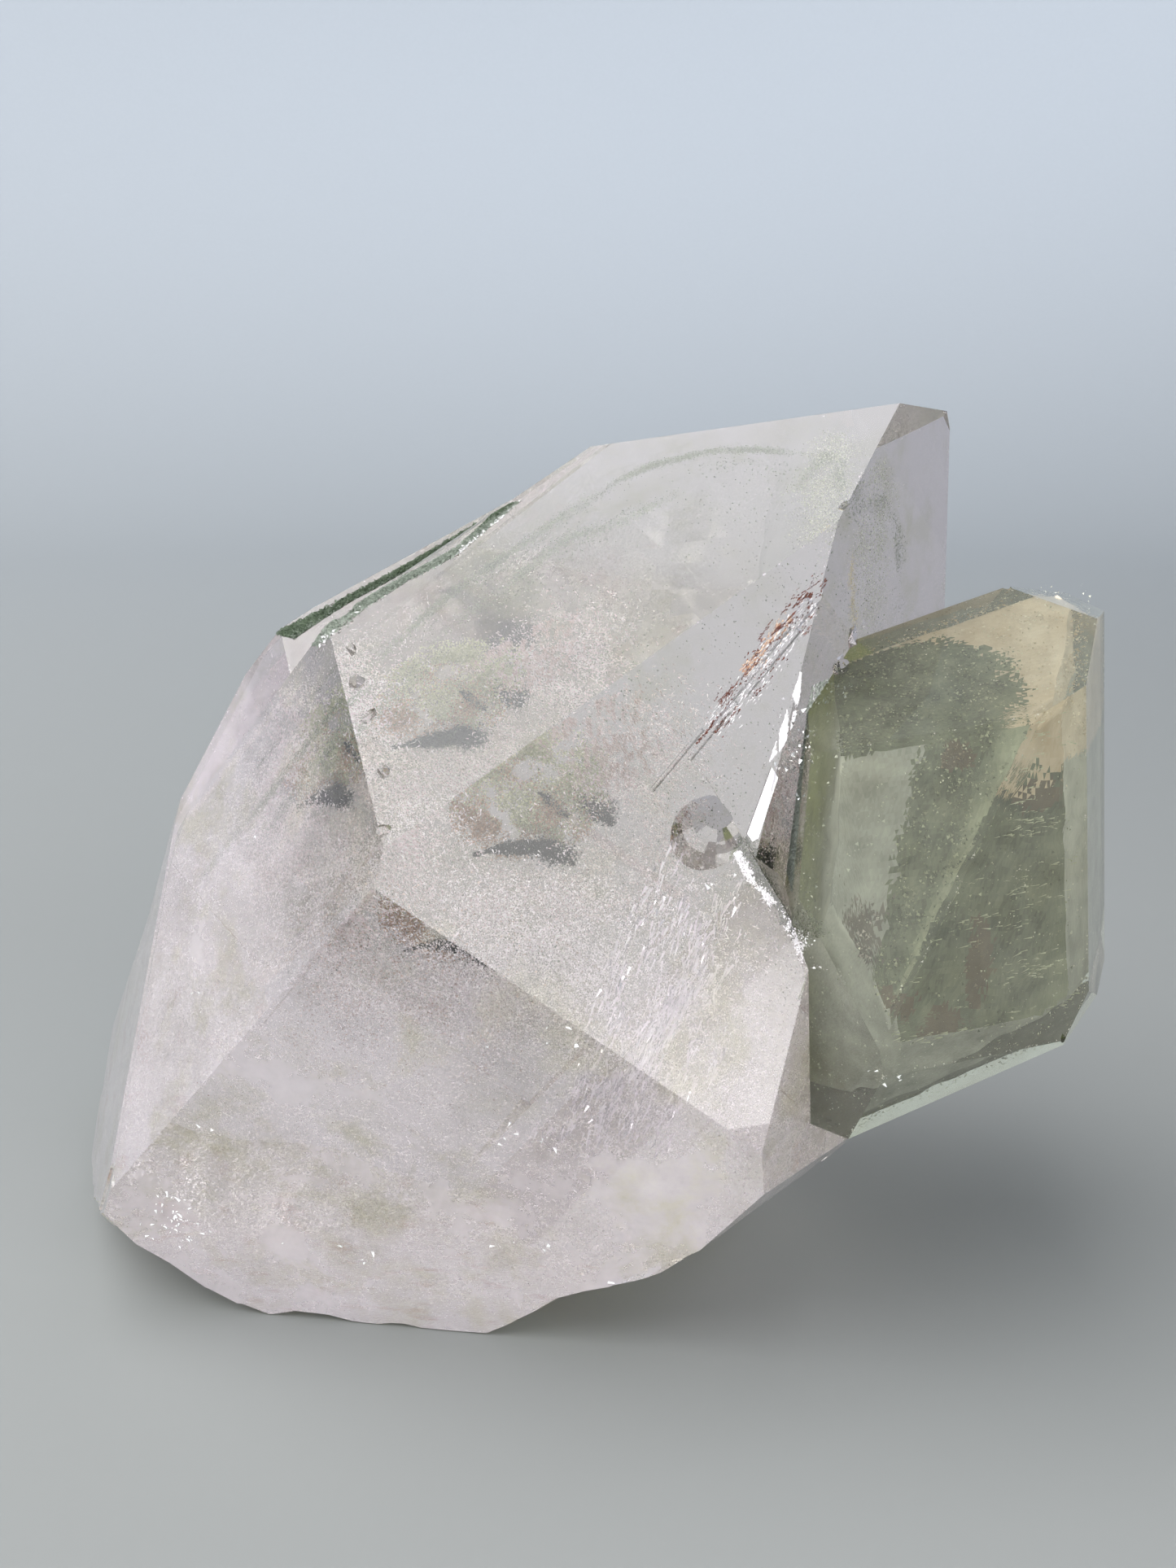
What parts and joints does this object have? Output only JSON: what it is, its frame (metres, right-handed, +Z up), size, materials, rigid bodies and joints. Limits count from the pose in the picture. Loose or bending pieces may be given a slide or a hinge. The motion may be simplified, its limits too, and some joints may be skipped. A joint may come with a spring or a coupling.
{
  "type": "mineral specimen",
  "caption": "Clear quartz crystals grown together, with a green chlorite phantom inside, resting on a broken base.",
  "frame": {"origin": "on the surface it rests on, at the foot of a point inside the large crystal", "axes": "+Z up, +X to the right towards the side crystal, +Y away from the viewer of the front face"},
  "size_m": [0.1419, 0.0952, 0.113],
  "materials": {
    "quartz": "clear, smooth growth faces with fine steps; the broken base is rough and frosted"
  },
  "bodies": {
    "root": {"quartz_cluster": "quartz"}
  },
  "joints": []
}
